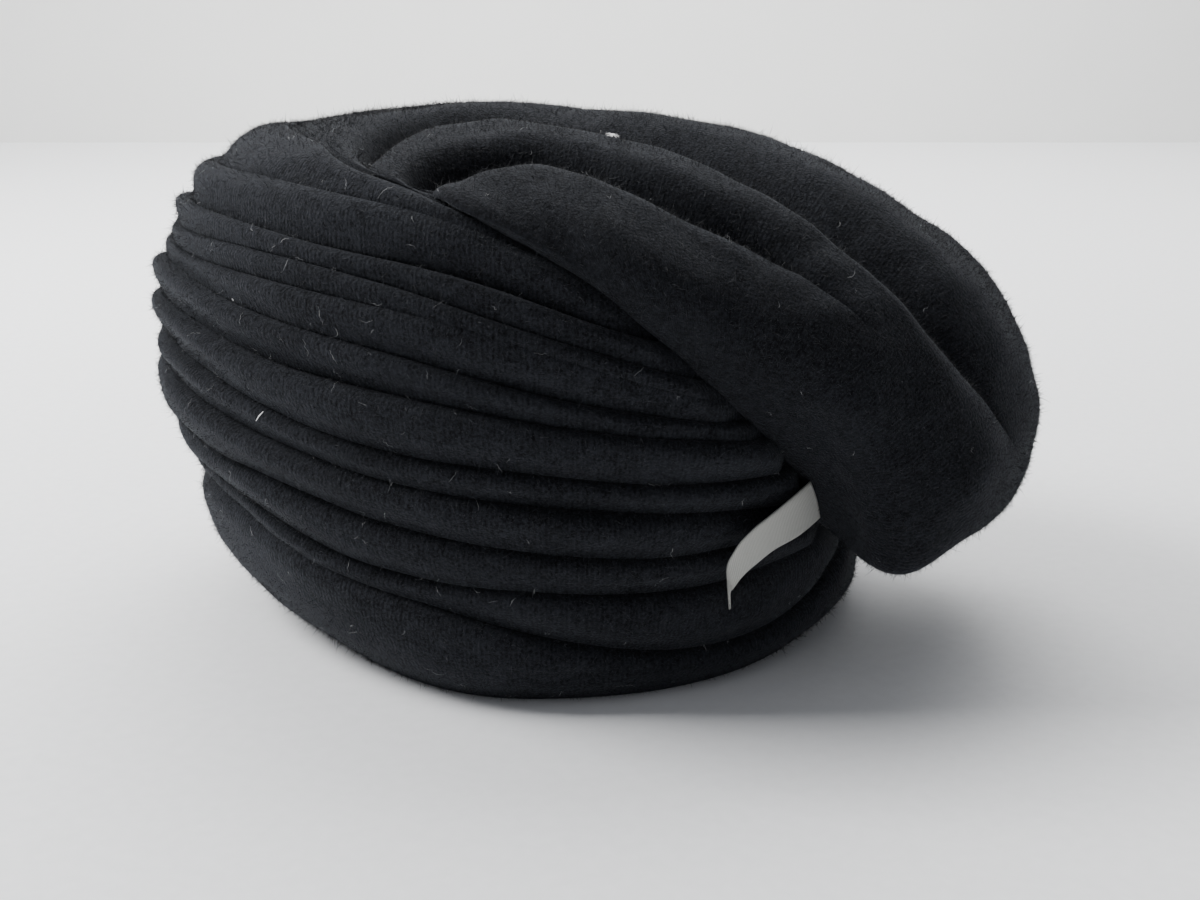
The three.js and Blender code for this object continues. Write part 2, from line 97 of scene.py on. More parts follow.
FOLD_ANGLES = np.array([0, 45, 90, 135, 180])
FOLDS = [
    ([0.27, 0.265, 0.2, 0.085, 0.17], [0.15, 0.25, 0.4, 0.4, 0.3]),
    ([0.3, 0.305, 0.24, 0.21, 0.23], [0.35, 0.35, 0.4, 0.35, 0.2]),
    ([0.38, 0.385, 0.325, 0.275, 0.27], [0.4, 0.4, 0.4, 0.35, 0.2]),
    ([0.49, 0.5, 0.41, 0.35, 0.33], [0.52, 0.52, 0.52, 0.35, 0.2]),
    ([0.55, 0.555, 0.465, 0.41, 0.38], [0.52, 0.43, 0.43, 0.4, 0.2]),
    ([0.62, 0.63, 0.56, 0.485, 0.42], [0.6, 0.6, 0.52, 0.43, 0.2]),
    ([0.69, 0.7, 0.625, 0.515, 0.45], [0.65, 0.65, 0.52, 0.4, 0.2]),
    ([0.735, 0.745, 0.7, 0.55, 0.5], [0.35, 0.43, 0.2, 0.0, 0.0]),
    ([0.765, 0.785, 0.745, 0.575, 0.53], [0.35, 0.4, 0.4, 0.3, 0.2]),
    ([0.81, 0.825, 0.78, 0.64, 0.58], [0.56, 0.56, 0.48, 0.4, 0.3]),
    ([0.885, 0.895, 0.86, 0.7, 0.63], [0.35, 0.35, 0.1, 0.0, 0.0]),
]

SECTIONS = dict(zip(["along", "edge", "crestX", "crestZ", "bulge", "sag"], np.array([
    (0.0, 94, -0.37, 0.9, 0.0, 0.0),
    (0.08, 99, -0.325, 0.93, 0.01, 0.0),
    (0.18, 106, -0.235, 0.962, 0.02, 0.0),
    (0.3, 114, -0.068, 0.976, 0.03, 0.0),
    (0.42, 123, 0.115, 0.968, 0.05, 0.0),
    (0.54, 131, 0.292, 0.91, 0.07, 0.0),
    (0.66, 138, 0.452, 0.812, 0.1, 0.0),
    (0.76, 144, 0.562, 0.69, 0.13, 0.014),
    (0.85, 149, 0.624, 0.525, 0.16, 0.03),
    (0.91, 152, 0.64, 0.4, 0.17, 0.04),
    (0.96, 155, 0.606, 0.272, 0.12, 0.044),
    (1.0, 158, 0.48, 0.214, 0.0, 0.0),
]).T))
CREST_POWER = 0.85
CROSSING_ANGLE = 97
CROSSING_SPAN = 12
FRONT_START = 0.07
FRONT_SHARE = 0.2
FRONT_RISE = 1
FRONT_FAN = 0.35
FRONT_DEPTH = 0.55
RISE_SHARE = 0.11
BACK_SHARE = 0.05
HUG_LEVEL = 0.95
SAG_PLACE = 0.66
SAG_SPREAD = 0.18
BACK_EDGE = 158

# along, across, depth as a share of HALF_WIDTH, width of the near and of the far slope
VALLEYS = [
    np.array([
        (0.06, -0.97, 0.0, 0.08, 0.1),
        (0.15, -0.9, 0.03, 0.08, 0.12),
        (0.223, -0.72, 0.08, 0.12, 0.16),
        (0.295, -0.54, 0.12, 0.14, 0.16),
        (0.343, -0.44, 0.13, 0.14, 0.15),
        (0.38, -0.39, 0.13, 0.14, 0.14),
        (0.46, -0.41, 0.12, 0.13, 0.14),
        (0.535, -0.44, 0.09, 0.13, 0.14),
        (0.6, -0.45, 0.06, 0.14, 0.15),
        (0.66, -0.5, 0.02, 0.15, 0.15),
        (0.72, -0.53, 0.0, 0.15, 0.15),
        (1.0, -0.6, 0.0, 0.15, 0.15),
    ]).T,
    np.array([
        (0.1, -0.86, 0.0, 0.06, 0.2),
        (0.2, -0.6, 0.02, 0.12, 0.3),
        (0.235, -0.4, 0.08, 0.2, 0.35),
        (0.262, -0.21, 0.13, 0.25, 0.35),
        (0.29, -0.1, 0.17, 0.25, 0.32),
        (0.33, -0.06, 0.2, 0.2, 0.3),
        (0.4, -0.09, 0.23, 0.16, 0.3),
        (0.48, -0.12, 0.26, 0.13, 0.26),
        (0.56, -0.18, 0.28, 0.12, 0.27),
        (0.64, -0.23, 0.27, 0.12, 0.28),
        (0.71, -0.27, 0.21, 0.13, 0.28),
        (0.77, -0.28, 0.13, 0.15, 0.28),
        (0.83, -0.25, 0.05, 0.18, 0.28),
        (0.9, -0.2, 0.0, 0.2, 0.3),
        (1.0, -0.2, 0.0, 0.2, 0.3),
    ]).T,
    np.array([
        (0.08, 0.1, 0.0, 0.1, 0.1),
        (0.16, 0.22, 0.03, 0.14, 0.14),
        (0.28, 0.34, 0.08, 0.16, 0.16),
        (0.42, 0.38, 0.12, 0.15, 0.16),
        (0.56, 0.36, 0.13, 0.15, 0.16),
        (0.68, 0.36, 0.1, 0.16, 0.16),
        (0.8, 0.38, 0.05, 0.18, 0.18),
        (0.92, 0.4, 0.0, 0.18, 0.18),
        (1.0, 0.4, 0.0, 0.18, 0.18),
    ]).T,
    np.array([
        (0.04, 0.92, 0.0, 0.1, 0.08),
        (0.1, 0.86, 0.02, 0.14, 0.1),
        (0.15, 0.8, 0.035, 0.14, 0.1),
        (0.25, 0.69, 0.08, 0.16, 0.11),
        (0.35, 0.63, 0.11, 0.16, 0.13),
        (0.48, 0.62, 0.11, 0.15, 0.14),
        (0.6, 0.64, 0.08, 0.15, 0.14),
        (0.72, 0.66, 0.03, 0.15, 0.14),
        (0.82, 0.67, 0.0, 0.15, 0.14),
        (1.0, 0.67, 0.0, 0.15, 0.14),
    ]).T,
]
# For each valley, how much deeper and how much wider on its far slope it is than its table says.
VALLEY_FORMS = [(1.6, 0.72), (1.65, 0.8), (1.15, 1.0), (1.15, 1.0)]
LIP_PROUD = 3
LIP_PLACE = 0.78
LIP_SPREAD = 0.16
LIP_START = 0.06
LIP_FULL = 0.5
EDGE_DROP = 10
EDGE_SHARE = 0.3

TAPE = dict(zip(["along", "upperAngle", "upper", "lowerAngle", "lower", "bow"], np.array([
    (0.0, 149.3, 0.386, 155.0, 0.3, 0.1),
    (0.2, 145.0, 0.375, 148.9, 0.294, 0.6),
    (0.42, 140.6, 0.36, 143.0, 0.293, 1.1),
    (0.62, 137.6, 0.341, 139.8, 0.277, 1.3),
    (0.78, 135.8, 0.308, 137.7, 0.249, 1.2),
    (0.86, 135.3, 0.273, 137.0, 0.223, 1.0),
    (0.93, 136.6, 0.223, 137.3, 0.206, 0.6),
    (1.0, 138.3, 0.162, 138.6, 0.163, 0.1),
]).T))


# Shape helpers, all on arrays
def ease(value):
    x = np.clip(value, 0, 1)
    return x * x * (3 - 2 * x)


def lerp(a, b, t):
    return a + (b - a) * t


def curve(xs, ys, at):
    """Smooth curve through the rows of a table."""
    xs = np.asarray(xs, float)
    ys = np.asarray(ys, float)
    steps = np.diff(xs)
    slopes = np.diff(ys) / steps
    tangents = np.empty_like(ys)
    tangents[0], tangents[-1] = slopes[0], slopes[-1]
    tangents[1:-1] = (slopes[:-1] * steps[1:] + slopes[1:] * steps[:-1]) / (steps[:-1] + steps[1:])
    x = np.clip(at, xs[0], xs[-1])
    k = np.clip(np.searchsorted(xs, x, side="right") - 1, 0, len(xs) - 2)
    width = steps[k]
    t = (x - xs[k]) / width
    start = (2 * t**3 - 3 * t**2 + 1) * ys[k] + (t**3 - 2 * t**2 + t) * width * tangents[k]
    return start + (3 * t**2 - 2 * t**3) * ys[k + 1] + (t**3 - t**2) * width * tangents[k + 1]


def unit(v):
    return v / np.maximum(np.linalg.norm(v, axis=-1, keepdims=True), 1e-9)


def reach(height, forward):
    tuck = FRONT_TUCK * ease(forward + 0.25) + BACK_TUCK * np.maximum(-forward, 0) ** 3
    curl = np.maximum(1 - height / TUCK_TOP, 0) ** TUCK_POWER
    dip = FRONT_DIP * ease((height - 0.85) / 0.1) * ease(forward + 0.2)
    waist = FRONT_WAIST * np.exp(-(((height - 0.3) / 0.09) ** 2)) * ease(forward + 0.2)
    waist = waist + BACK_WAIST * np.exp(-(((height - 0.21) / 0.13) ** 2)) * np.maximum(-forward, 0) ** 3
    return curve(*PROFILE, height) - tuck * curl - dip - waist


def head_normal(angle, z):
    forward, side = np.cos(np.radians(angle)), np.sin(np.radians(angle))
    half = np.where(forward > 0, HALF_FRONT, HALF_BACK)
    height = z / CROWN_HEIGHT
    low, high = np.clip(height - 0.005, 0, 1), np.clip(height + 0.005, 0, 1)
    lean = (reach(high, forward) - reach(low, forward)) / (high - low)
    flat = unit(np.stack([-forward / half, side / HALF_WIDTH, np.zeros_like(forward)], -1))
    up = -lean * np.hypot(half * forward, HALF_WIDTH * side) / CROWN_HEIGHT
    return unit(np.stack([flat[..., 0], flat[..., 1], up], -1))


def head_point(angle, z, offset):
    """Point on the wrapped head, moved out along its normal."""
    angle, z, offset = np.broadcast_arrays(np.asarray(angle, float), z, offset)
    forward, side = np.cos(np.radians(angle)), np.sin(np.radians(angle))
    half = np.where(forward > 0, HALF_FRONT, HALF_BACK)
    r = reach(z / CROWN_HEIGHT, forward)
    point = np.stack([-half * r * forward, HALF_WIDTH * r * side, z], -1)
    return point + head_normal(angle, z) * offset[..., None]


def seam_height(angle):
    return CROWN_HEIGHT * curve(*SEAM, np.abs(angle))


def past_crossing(angle):
    return ease((np.abs(angle) - CROSSING_ANGLE) / CROSSING_SPAN)


def waves(seed, count, a, b, turns, tall):
    """Smooth random relief, about -1 to 1: a is an angle in degrees and b a length in mm."""
    rng = np.random.default_rng(seed)
    total = np.zeros(np.broadcast(a, b).shape)
    for _ in range(count):
        around = rng.integers(turns[0], turns[1] + 1) * rng.choice([-1, 1])
        up = 2 * math.pi / rng.uniform(*tall)
        total += np.sin(np.radians(a) * around + b * up + rng.uniform(0, 2 * math.pi))
    return total / math.sqrt(count)


# Band
BAND_COLUMNS = 480
GAP_ROWS = 16
ROW_CROWDING = 0.7
FOLD_GAIN = 1.45
NOTCH_WIDTH = 1.9
NOTCH_POWER = 1.4
ABOVE_WIDTH = 4.4
ABOVE_POWER = 1.3
LAP_SHARE = 0.6
LAP_WIDTH = 5
LAP_POWER = 1.5
FOLD_HANG = 0.4
PUFF = 0.09
PUFF_POWER = 0.8
RIM_SHARE = 0.1
TOP_FOLD = 3.2
UNDER_LEAD = 0.8
BAND_RADIUS = 100


def fold_relief(angle, z, heights):
    relief = np.zeros_like(z)
    shift = np.zeros_like(z)
    for fold, (_, depths) in enumerate(FOLDS):
        varied = 1 + 0.25 * waves(100 + fold, 5, angle, 0, (2, 9), (50, 90))
        depth = FOLD_GAIN * BAND_WALL * np.interp(np.abs(angle), FOLD_ANGLES, depths) * varied
        rise = z - heights[fold]
        notch = np.exp(-((np.abs(rise) / NOTCH_WIDTH) ** NOTCH_POWER))
        above = np.exp(-((np.abs(rise) / ABOVE_WIDTH) ** ABOVE_POWER))
        lap = LAP_SHARE * np.exp(-((np.abs(rise) / LAP_WIDTH) ** LAP_POWER)) * (1 - notch)
        relief -= depth * np.where(rise > 0, above, notch - lap)
        shift -= FOLD_HANG * depth * np.exp(-((rise - 0.4) / 1.0) ** 2)
    return relief, shift


def band_wrinkles(angle, z):
    """Faint long creases between the folds, unevenly strong round the band."""
    fine = waves(301, 26, angle, z, (1, 4), (5, 11))
    strength = 0.5 + 0.5 * np.tanh(1.2 * waves(302, 8, angle, z, (1, 5), (30, 80)))
    return -0.55 * strength * np.maximum(fine - 0.5, 0) ** 1.3


def band_grid():
    angle = np.arange(BAND_COLUMNS) * 360 / BAND_COLUMNS - 180
    heights = []
    for fold, (shares, _) in enumerate(FOLDS):
        wander = 0.9 * waves(200 + fold, 6, angle, 0, (1, 8), (50, 90))
        heights.append(CROWN_HEIGHT * curve(FOLD_ANGLES, shares, np.abs(angle)) + wander)
    top = seam_height(angle) + OVERLAP * ease((np.abs(angle) - CROSSING_ANGLE) / 18 - 0.1)
    lines = [np.zeros(BAND_COLUMNS)]
    for line in heights + [top]:
        lines.append(np.minimum(np.maximum(line, lines[-1] + 0.6), top))
    rows = []
    for low, high in zip(lines[:-1], lines[1:]):
        for step in range(GAP_ROWS):
            t = step / GAP_ROWS
            t = t - ROW_CROWDING * math.sin(2 * math.pi * t) / (2 * math.pi)
            rows.append(lerp(low, high, t))
    rows.append(top)
    z = np.stack(rows, 1)
    a = np.broadcast_to(angle[:, None], z.shape)
    columns = [h[:, None] for h in heights]
    relief, shift = fold_relief(a, z, columns)
    for low, high in zip(lines[:-1], lines[1:]):
        gap = np.maximum(high - low, 0.1)[:, None]
        relief += PUFF * gap * np.sin(np.pi * np.clip((z - low[:, None]) / gap, 0, 1)) ** PUFF_POWER
    relief = relief + 0.45 * waves(7, 14, a, z, (2, 9), (35, 90))
    relief = relief + 0.16 * waves(8, 24, a, z, (4, 22), (7, 18))
    relief = relief + band_wrinkles(a, z)
    near_rim = ease(z / (RIM_SHARE * CROWN_HEIGHT))
    under = ease((z - seam_height(a)) / OVERLAP + UNDER_LEAD) * past_crossing(a)
    # The top edge is a soft fold.
    edge = np.clip(1 - (top[:, None] - z) / TOP_FOLD, 0, 1)
    rounding = BAND_WALL * 0.5 * (1 - np.sqrt(1 - edge**2))
    offset = relief * lerp(0.4, 1, near_rim) - BAND_WALL * under - rounding
    outer = head_point(a, z + shift * near_rim, offset)
    outer[..., 2] = lerp(z, outer[..., 2], near_rim)
    shares = np.array([1, 0.985, 0.96, 0.92, 0.85, 0.7, 0.5, 0.3, 0.15, 0.06, 0])
    zi = top[:, None] * shares
    ai = np.broadcast_to(angle[:, None], zi.shape)
    under_i = ease((zi - seam_height(ai)) / OVERLAP + UNDER_LEAD) * past_crossing(ai)
    edge_i = np.clip(1 - (top[:, None] - zi) / TOP_FOLD, 0, 1)
    rounding_i = BAND_WALL * 0.4 * (1 - np.sqrt(1 - edge_i**2))
    inner = head_point(ai, zi, -BAND_WALL - BAND_WALL * under_i + rounding_i)
    inner[..., 2] = lerp(zi, inner[..., 2], ease(zi / (RIM_SHARE * CROWN_HEIGHT)))
    points = np.concatenate([outer, inner], 1)
    around = np.broadcast_to((angle * math.pi / 180 * BAND_RADIUS)[:, None], points.shape[:2])
    uv = np.stack([around, np.broadcast_to(np.concatenate([z, zi], 1), points.shape[:2])], -1) * MM
    return points, outer.shape[1], uv


# Crown cloth
DRAPE_SECTIONS = 300
STRIPS = [44, 50, 50, 40, 44]
INNER_STRIPS = 60
STRIP_CROWDING = 0.65
LAP_REST = 0.3575
NORMAL_STEP = 0.01
FAR_DROP = 4.4
FAR_DROP_PLACE = 0.47
FAR_DROP_SPREAD = 0.16
WEAVE_LENGTH = 330
WEAVE_HALF_WIDTH = 150


def drape_base(along, across):
    def column(name):
        return curve(SECTIONS["along"], SECTIONS[name], along)

    edge_angle = column("edge")
    outside = ease((edge_angle - CROSSING_ANGLE) / CROSSING_SPAN)
    proud = lerp(1.0, BAND_WALL * LAP_REST + CLEARANCE + DRAPE_WALL, ease((along - 0.12) / 0.5))
    edge_offset = lerp(-BAND_WALL - 6 * CLEARANCE, proud, outside)
    edge = head_point(edge_angle, seam_height(edge_angle), edge_offset)
    turn = across * math.pi / 2
    lift = np.maximum(np.cos(turn), 0)
    flank = np.sin(2 * turn)
    lobe = np.exp(-(((np.abs(across) - SAG_PLACE) / SAG_SPREAD) ** 2))
    arch = np.stack([
        lerp(edge[..., 0], column("crestX") * HEAD_LENGTH, lift),
        edge[..., 1] * np.sin(turn) + column("bulge") * HALF_WIDTH * flank,
        lerp(edge[..., 2], column("crestZ") * CROWN_HEIGHT, lift**CREST_POWER)
        - column("sag") * CROWN_HEIGHT * lobe,
    ], -1)
    front_angle = edge_angle * across * (1 + FRONT_FAN * (1 - across**2))
    inside = 1 - np.abs(across) ** 12
    rise = lerp(-OVERLAP, FRONT_RISE, np.minimum(along / RISE_SHARE, 1)) * inside
    depth = lerp(edge_offset, -FRONT_DEPTH * BAND_WALL, inside)
    front = head_point(front_angle, seam_height(front_angle) + rise, depth)
    back_angle = np.where(across < 0, -1, 1) * lerp(180, BACK_EDGE, np.abs(across))
    back = head_point(back_angle, seam_height(back_angle), proud)
    arch = lerp(arch, front, (1 - ease((along - FRONT_START) / FRONT_SHARE))[..., None])
    return lerp(arch, back, ease(1 - (1 - along) / BACK_SHARE)[..., None])


def drape_normal(along, across, base):
    half = np.where(base[..., 0] < 0, HALF_FRONT, HALF_BACK)
    angle = np.degrees(np.arctan2(base[..., 1] / HALF_WIDTH, -base[..., 0] / half))
    on_head = head_normal(angle, np.minimum(base[..., 2], HUG_LEVEL * CROWN_HEIGHT))
    later, sooner = np.minimum(along + NORMAL_STEP, 1), np.maximum(along - NORMAL_STEP, 0)
    farther, nearer = np.minimum(across + NORMAL_STEP, 1), np.maximum(across - NORMAL_STEP, -1)
    lengthwise = drape_base(later, across) - drape_base(sooner, across)
    crosswise = drape_base(along, farther) - drape_base(along, nearer)
    hug = np.maximum(ease((np.abs(across) - 0.8) / 0.2), 1 - ease((along - 0.1) / 0.15))
    return unit(lerp(unit(np.cross(lengthwise, crosswise)), on_head, hug[..., None]))


def roll_relief(along, across):
    relief = np.zeros(np.broadcast(along, across).shape)
    for rows, (deeper, wider) in zip(VALLEYS, VALLEY_FORMS):
        middle = curve(rows[0], rows[1], along)
        depth = deeper * HALF_WIDTH * np.maximum(curve(rows[0], rows[2], along), 0)
        near = curve(rows[0], rows[3], along)
        far = wider * curve(rows[0], rows[4], along)
        place = np.where(across < middle, (middle - across) / near, (across - middle) / far)
        roll = np.sqrt(np.clip(1 - (1 - np.clip(place, 0, 1)) ** 2, 0, 1))
        relief -= depth * (1 - roll)
    growth = ease((along - LIP_START) / LIP_FULL) * ease((1 - along) / BACK_SHARE)
    lip = np.exp(-(((np.abs(across) - LIP_PLACE) / LIP_SPREAD) ** 2))
    edge = np.clip(1 - (1 - np.abs(across)) / EDGE_SHARE, 0, 1)
    drop = EDGE_DROP * growth * (1 - np.sqrt(1 - edge**2))
    return relief + LIP_PROUD * growth * lip - drop


def drape_grid():
    along = np.arange(DRAPE_SECTIONS + 1) / DRAPE_SECTIONS
    knots = [np.full_like(along, -1)]
    knots += [curve(rows[0], rows[1], along) for rows in VALLEYS]
    knots.append(np.ones_like(along))
    across = []
    for low, high, strips in zip(knots[:-1], knots[1:], STRIPS):
        for step in range(strips):
            t = step / strips
            t = t - STRIP_CROWDING * math.sin(2 * math.pi * t) / (2 * math.pi)
            across.append(lerp(low, high, t))
    across.append(knots[-1])
    v = np.stack(across, 1)
    u = np.broadcast_to(along[:, None], v.shape)
    base = drape_base(u, v)
    normal = drape_normal(u, v, base)
    soft = ease((u - 0.12) / 0.2) * ease((1 - u) / 0.12) * ease((1 - np.abs(v)) / 0.15)
    bumps = 0.8 * waves(21, 16, v * 180, u * 300, (1, 4), (60, 140))
    bumps += 0.25 * waves(22, 24, v * 180, u * 300, (3, 10), (14, 40))
    far_side = ease((v - 0.1) / 0.35)
    low_far = FAR_DROP * far_side * np.exp(-(((u - FAR_DROP_PLACE) / FAR_DROP_SPREAD) ** 2))
    relief = roll_relief(u, v) + soft * bumps - low_far
    outer = base + normal * relief[..., None]
    vi = np.linspace(1, -1, INNER_STRIPS + 1)[None, :] * np.ones((DRAPE_SECTIONS + 1, 1))
    ui = np.broadcast_to(along[:, None], vi.shape)
    base_i = drape_base(ui, vi)
    inner = base_i + drape_normal(ui, vi, base_i) * (roll_relief(ui, vi) - DRAPE_WALL)[..., None]
    points = np.concatenate([outer, inner], 1)
    arc = np.concatenate([v * WEAVE_HALF_WIDTH, vi * WEAVE_HALF_WIDTH], 1)
    uv = np.stack([np.broadcast_to((along * WEAVE_LENGTH)[:, None], arc.shape), arc], -1) * MM
    return points, outer.shape[1], uv


# Camera
target = Vector((16 + ORIGIN_X, 6, 40)) * MM
azimuth, elevation, distance = math.radians(20), math.radians(17), 0.439
direction = Vector((
    math.sin(azimuth) * math.cos(elevation),
    -math.cos(azimuth) * math.cos(elevation),
    math.sin(elevation),
))
camera = bpy.data.objects.new("camera", bpy.data.cameras.new("camera"))
camera.data.lens = 43.5
camera.data.sensor_width = 36
camera.data.clip_start = 0.01
camera.location = target + distance * direction
camera.rotation_euler = (-direction).to_track_quat("-Z", "Y").to_euler()
scene.collection.objects.link(camera)
scene.camera = camera

# Meshes
def add_mesh(name, points, faces, material, uv=None):
    """Mesh from points in mm about the head's middle. Quads and triangles, flat lists."""
    mesh = bpy.data.meshes.new(name)
    shifted = (np.asarray(points, float) + (ORIGIN_X, 0, 0)) * MM
    mesh.from_pydata(shifted, [], faces.tolist() if isinstance(faces, np.ndarray) else faces)
    mesh.shade_smooth()
    if uv is not None:
        layer = mesh.uv_layers.new(name="cloth")
        corner = np.empty(len(mesh.loops), np.int32)
        mesh.loops.foreach_get("vertex_index", corner)
        layer.data.foreach_set("uv", np.asarray(uv, np.float32)[corner].ravel())
    mesh.materials.append(material)
    obj = bpy.data.objects.new(name, mesh)
    scene.collection.objects.link(obj)
    return obj


def grid_faces(rows, columns, ring_rows=False, ring_columns=False):
    i = np.arange(rows if ring_rows else rows - 1)[:, None]
    j = np.arange(columns if ring_columns else columns - 1)[None, :]
    a = i * columns + j
    b = i * columns + (j + 1) % columns
    c = ((i + 1) % rows) * columns + (j + 1) % columns
    d = ((i + 1) % rows) * columns + j
    return np.stack(np.broadcast_arrays(a, b, c, d), -1).reshape(-1, 4)


# Materials
def shader(name):
    material = bpy.data.materials.new(name)
    material.use_nodes = True
    nodes = material.node_tree.nodes
    return material, nodes, material.node_tree.links, nodes["Principled BSDF"]


def noise_node(nodes, links, vector, scale, detail, rough=0.5):
    noise = nodes.new("ShaderNodeTexNoise")
    noise.inputs["Scale"].default_value = scale
    noise.inputs["Detail"].default_value = detail
    noise.inputs["Roughness"].default_value = rough
    links.new(vector, noise.inputs["Vector"])
    return noise.outputs["Fac"]


def weighted(nodes, links, first, weight, second):
    """first * weight + second; second is a number or a socket."""
    node = nodes.new("ShaderNodeMath")
    node.operation = "MULTIPLY_ADD"
    links.new(first, node.inputs[0])
    node.inputs[1].default_value = weight
    if isinstance(second, (int, float)):
        node.inputs[2].default_value = second
    else:
        links.new(second, node.inputs[2])
    return node.outputs[0]


def wool(name, streaks, pale):
    """Felted wool jersey: near-black blue, cloudy, with fine ribs under matted fibres."""
    material, nodes, links, bsdf = shader(name)
    bsdf.inputs["Roughness"].default_value = 0.95
    bsdf.inputs["Specular IOR Level"].default_value = 0.12
    bsdf.inputs["Sheen Weight"].default_value = 0.12
    bsdf.inputs["Sheen Roughness"].default_value = 0.4
    bsdf.inputs["Sheen Tint"].default_value = (0.58, 0.62, 0.7, 1)
    place = nodes.new("ShaderNodeTexCoord").outputs["Object"]
    uv = nodes.new("ShaderNodeUVMap")
    uv.uv_map = "cloth"
    stretch = nodes.new("ShaderNodeMapping")
    stretch.inputs["Scale"].default_value = (1, 0.16, 1)
    links.new(uv.outputs["UV"], stretch.inputs["Vector"])
    cloud = noise_node(nodes, links, place, 40, 4)
    felt = noise_node(nodes, links, place, 1300, 2, 0.7)
    mottle = noise_node(nodes, links, place, 480, 2)
    streak = noise_node(nodes, links, stretch.outputs["Vector"], 1050, 2)
    rib = nodes.new("ShaderNodeTexWave")
    rib.wave_type = "BANDS"
    rib.bands_direction = "X"
    rib.inputs["Scale"].default_value = 262
    rib.inputs["Distortion"].default_value = 3.5
    rib.inputs["Detail"].default_value = 2
    rib.inputs["Detail Scale"].default_value = 2.5
    links.new(uv.outputs["UV"], rib.inputs["Vector"])
    grain = weighted(nodes, links, rib.outputs["Fac"], 0.1, felt)
    grain = weighted(nodes, links, streak, streaks, grain)
    shade = weighted(nodes, links, cloud, 0.5, -0.25 - 0.8 - 0.9 * streaks - 0.07)
    shade = weighted(nodes, links, mottle, 0.7, shade)
    shade = weighted(nodes, links, grain, 1.7, shade)
    tone = nodes.new("ShaderNodeValToRGB")
    tone.color_ramp.elements[0].position = 0.0
    tone.color_ramp.elements[0].color = (0.0018, 0.002, 0.0027, 1)
    tone.color_ramp.elements[1].position = 0.75
    tone.color_ramp.elements[1].color = pale
    links.new(shade, tone.inputs["Fac"])
    links.new(tone.outputs["Color"], bsdf.inputs["Base Color"])
    bump = nodes.new("ShaderNodeBump")
    bump.inputs["Strength"].default_value = 0.75
    bump.inputs["Distance"].default_value = 0.0006
    links.new(grain, bump.inputs["Height"])
    links.new(bump.outputs["Normal"], bsdf.inputs["Normal"])
    return material


def fibre(name, dark, pale):
    material, nodes, links, bsdf = shader(name)
    bsdf.inputs["Roughness"].default_value = 0.7
    bsdf.inputs["Specular IOR Level"].default_value = 0.3
    place = nodes.new("ShaderNodeTexCoord")
    noise = nodes.new("ShaderNodeTexNoise")
    noise.inputs["Scale"].default_value = 900
    links.new(place.outputs["Object"], noise.inputs["Vector"])
    tone = nodes.new("ShaderNodeValToRGB")
    tone.color_ramp.elements[0].position = 0.42
    tone.color_ramp.elements[0].color = dark
    tone.color_ramp.elements[1].position = 0.72
    tone.color_ramp.elements[1].color = pale
    links.new(noise.outputs["Fac"], tone.inputs["Fac"])
    links.new(tone.outputs["Color"], bsdf.inputs["Base Color"])
    return material


def cotton():
    material, nodes, links, bsdf = shader("woven_cotton")
    bsdf.inputs["Roughness"].default_value = 0.75
    bsdf.inputs["Specular IOR Level"].default_value = 0.3
    bsdf.inputs["Sheen Weight"].default_value = 0.2
    uv = nodes.new("ShaderNodeUVMap")
    uv.uv_map = "cloth"
    waves_x = nodes.new("ShaderNodeTexWave")
    waves_x.bands_direction = "X"
    waves_x.inputs["Scale"].default_value = 700
    waves_x.inputs["Distortion"].default_value = 0.4
    waves_y = nodes.new("ShaderNodeTexWave")
    waves_y.bands_direction = "Y"
    waves_y.inputs["Scale"].default_value = 1000
    waves_y.inputs["Distortion"].default_value = 0.4
    links.new(uv.outputs["UV"], waves_x.inputs["Vector"])
    links.new(uv.outputs["UV"], waves_y.inputs["Vector"])
    weave = nodes.new("ShaderNodeMath")
    weave.operation = "MULTIPLY"
    links.new(waves_x.outputs["Fac"], weave.inputs[0])
    links.new(waves_y.outputs["Fac"], weave.inputs[1])
    tone = nodes.new("ShaderNodeValToRGB")
    tone.color_ramp.elements[0].color = (0.33, 0.33, 0.307, 1)
    tone.color_ramp.elements[1].color = (0.6, 0.6, 0.564, 1)
    links.new(weave.outputs[0], tone.inputs["Fac"])
    links.new(tone.outputs["Color"], bsdf.inputs["Base Color"])
    bump = nodes.new("ShaderNodeBump")
    bump.inputs["Strength"].default_value = 0.4
    bump.inputs["Distance"].default_value = 0.0002
    links.new(weave.outputs[0], bump.inputs["Height"])
    links.new(bump.outputs["Normal"], bsdf.inputs["Normal"])
    return material


# Fibres
FLOOR_GAP = 0.05
SPECK_HALF_WIDTH = 0.2
SPECK_LIFT = 1.1


def scatter(rng, surface, count):
    """Random places on a grid of points, spread evenly by area: points, normals, tangents."""
    a, b, c = surface[:-1, :-1], surface[:-1, 1:], surface[1:, :-1]
    along, across = b - a, c - a
    normals = np.cross(along, across)
    area = np.linalg.norm(normals, axis=-1)
    pick = rng.choice(area.size, count, p=(area / area.sum()).ravel())
    i, j = np.unravel_index(pick, area.shape)
    s, t = rng.random(count)[:, None], rng.random(count)[:, None]
    points = a[i, j] + s * along[i, j] + t * across[i, j]
    return points, unit(normals[i, j]), unit(along[i, j])


